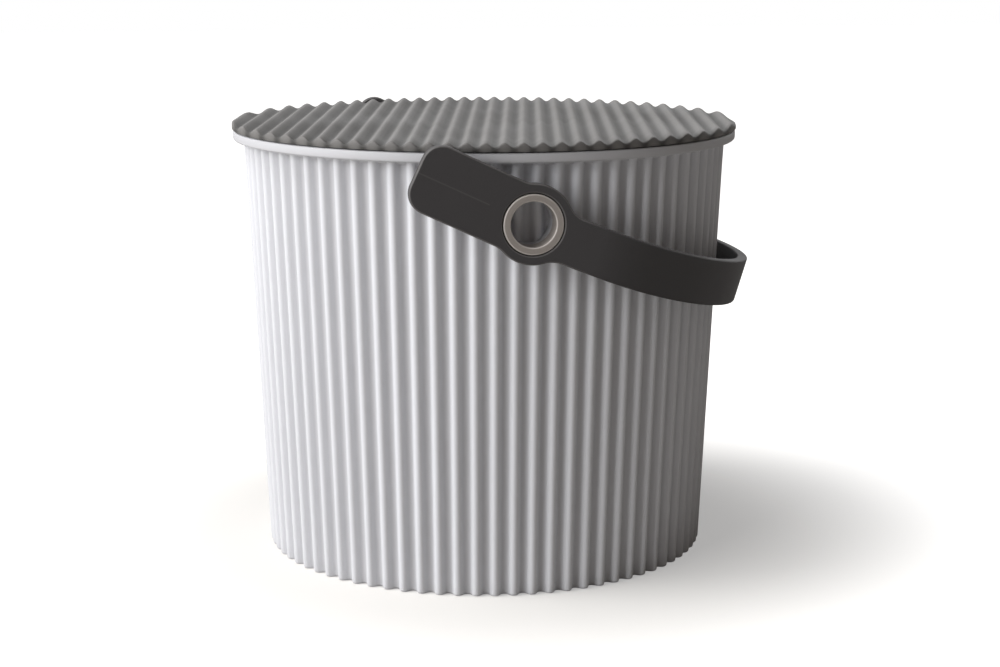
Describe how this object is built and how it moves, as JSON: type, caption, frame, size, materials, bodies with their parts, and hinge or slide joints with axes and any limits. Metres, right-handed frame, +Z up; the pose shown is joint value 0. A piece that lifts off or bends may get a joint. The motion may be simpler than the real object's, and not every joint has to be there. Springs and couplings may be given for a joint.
{
  "type": "lidded bucket",
  "caption": "Tapered ribbed bucket with a corrugated lift-off lid and a swinging strap handle on two tubular pivot rings.",
  "frame": {"origin": "centre of the foot, on the bucket's axis, on the plane that it stands on", "axes": "+Z up along the bucket's axis; Y along the handle's pivot axis, with the front ring at -Y; +X towards the side where the handle is lowered"},
  "size_m": [0.2939, 0.3018, 0.2434],
  "materials": {
    "body_plastic": "satin light cool grey",
    "lid_plastic": "satin warm dark grey",
    "handle_plastic": "fine matt charcoal",
    "ring_plastic": "satin light grey"
  },
  "bodies": {
    "bucket": {"bucket_body": "body_plastic", "pivot_ring_front": "ring_plastic", "pivot_ring_back": "ring_plastic"},
    "handle": {"handle": "handle_plastic"},
    "lid": {"lid": "lid_plastic"}
  },
  "joints": [
    {"name": "handle_swing", "type": "hinge", "parent": "bucket", "child": "handle", "pos_m": [0, 0, 0.203], "axis": [0, -1, 0], "range_deg": [0, 218]},
    {"name": "lid_lift", "type": "slide", "parent": "bucket", "child": "lid", "axis": [0, 0, 1], "range_m": [0, 0.12]}
  ]
}
